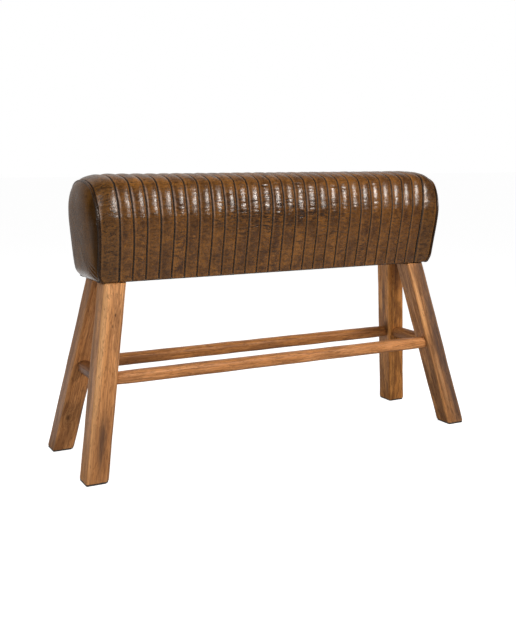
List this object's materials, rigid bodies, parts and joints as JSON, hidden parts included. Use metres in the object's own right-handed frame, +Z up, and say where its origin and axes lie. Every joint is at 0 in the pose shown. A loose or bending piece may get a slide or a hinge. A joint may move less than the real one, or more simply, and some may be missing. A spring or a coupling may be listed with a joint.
{
  "type": "pommel horse",
  "caption": "Long pommel-horse bench: ribbed leather seat with a rounded top and domed, piped ends, on splayed square wooden legs tied by oval side and end rails.",
  "frame": {"origin": "on the floor, midway between the feet", "axes": "+X along the seat, +Y across it towards the back, +Z up"},
  "size_m": [1.0736, 0.3266, 0.68],
  "materials": {
    "rib_leather": "waxed antique brown, half gloss",
    "piping_leather": "waxed antique brown",
    "end_leather": "dark waxed brown, half gloss",
    "foam": "matt cream upholstery foam",
    "frame_wood": "raw plywood and batten",
    "dust_cloth": "matt black non-woven cloth",
    "leg_wood": "waxed reddish-brown hardwood, worn edges",
    "rail_wood": "waxed orange-brown hardwood",
    "foot_felt": "dark pressed felt",
    "bolt_steel": "zinc-plated"
  },
  "bodies": {
    "root": {"rib_strip_01": "rib_leather", "rib_strip_02": "rib_leather", "rib_strip_03": "rib_leather", "rib_strip_04": "rib_leather", "rib_strip_05": "rib_leather", "rib_strip_06": "rib_leather", "rib_strip_07": "rib_leather", "rib_strip_08": "rib_leather", "rib_strip_09": "rib_leather", "rib_strip_10": "rib_leather", "rib_strip_11": "rib_leather", "rib_strip_12": "rib_leather", "rib_strip_13": "rib_leather", "rib_strip_14": "rib_leather", "rib_strip_15": "rib_leather", "rib_strip_16": "rib_leather", "rib_strip_17": "rib_leather", "rib_strip_18": "rib_leather", "rib_strip_19": "rib_leather", "rib_strip_20": "rib_leather", "rib_strip_21": "rib_leather", "rib_strip_22": "rib_leather", "rib_strip_23": "rib_leather", "rib_strip_24": "rib_leather", "rib_strip_25": "rib_leather", "rib_strip_26": "rib_leather", "end_strip_left": "rib_leather", "end_strip_right": "rib_leather", "piping_left": "piping_leather", "piping_right": "piping_leather", "end_panel_left": "end_leather", "end_panel_right": "end_leather", "foam_wrap": "foam", "end_foam_left": "foam", "end_foam_right": "foam", "base_board": "frame_wood", "top_board": "frame_wood", "side_board_front": "frame_wood", "side_board_back": "frame_wood", "end_board_left": "frame_wood", "end_board_right": "frame_wood", "bearer_left": "frame_wood", "bearer_right": "frame_wood", "dust_cover": "dust_cloth", "leg_front_left": "leg_wood", "leg_front_right": "leg_wood", "leg_back_left": "leg_wood", "leg_back_right": "leg_wood", "long_rail_front": "rail_wood", "long_rail_back": "rail_wood", "end_rail_left": "rail_wood", "end_rail_right": "rail_wood", "foot_pad_front_left": "foot_felt", "foot_pad_front_right": "foot_felt", "foot_pad_back_left": "foot_felt", "foot_pad_back_right": "foot_felt", "leg_bolt_front_left": "bolt_steel", "leg_bolt_front_right": "bolt_steel", "leg_bolt_back_left": "bolt_steel", "leg_bolt_back_right": "bolt_steel"}
  },
  "joints": []
}
